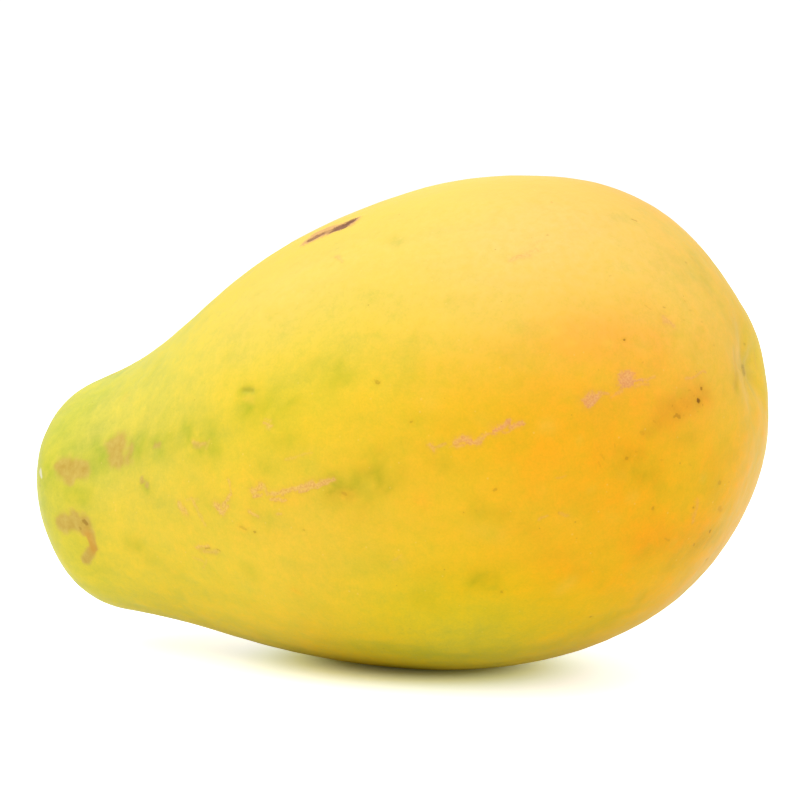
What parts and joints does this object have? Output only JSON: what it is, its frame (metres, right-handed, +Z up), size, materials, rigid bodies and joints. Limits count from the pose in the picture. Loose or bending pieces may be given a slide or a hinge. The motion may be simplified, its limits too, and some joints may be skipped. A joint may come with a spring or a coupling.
{
  "type": "papaya",
  "caption": "Whole ripe papaya fruit, pear-shaped with a blunt neck, soft ribs and a dimpled blossom end, lying on its side on a small flat spot.",
  "frame": {"origin": "bottom centre of the bounding box, on the surface that the fruit rests on", "axes": "+Z up, +X along the fruit from the stalk end (neck) to the blossom end, +Y to the left of that, so -Y is the side with the scars"},
  "size_m": [0.1828, 0.1168, 0.1173],
  "materials": {
    "rind": "satin"
  },
  "bodies": {
    "root": {"papaya": "rind"}
  },
  "joints": []
}
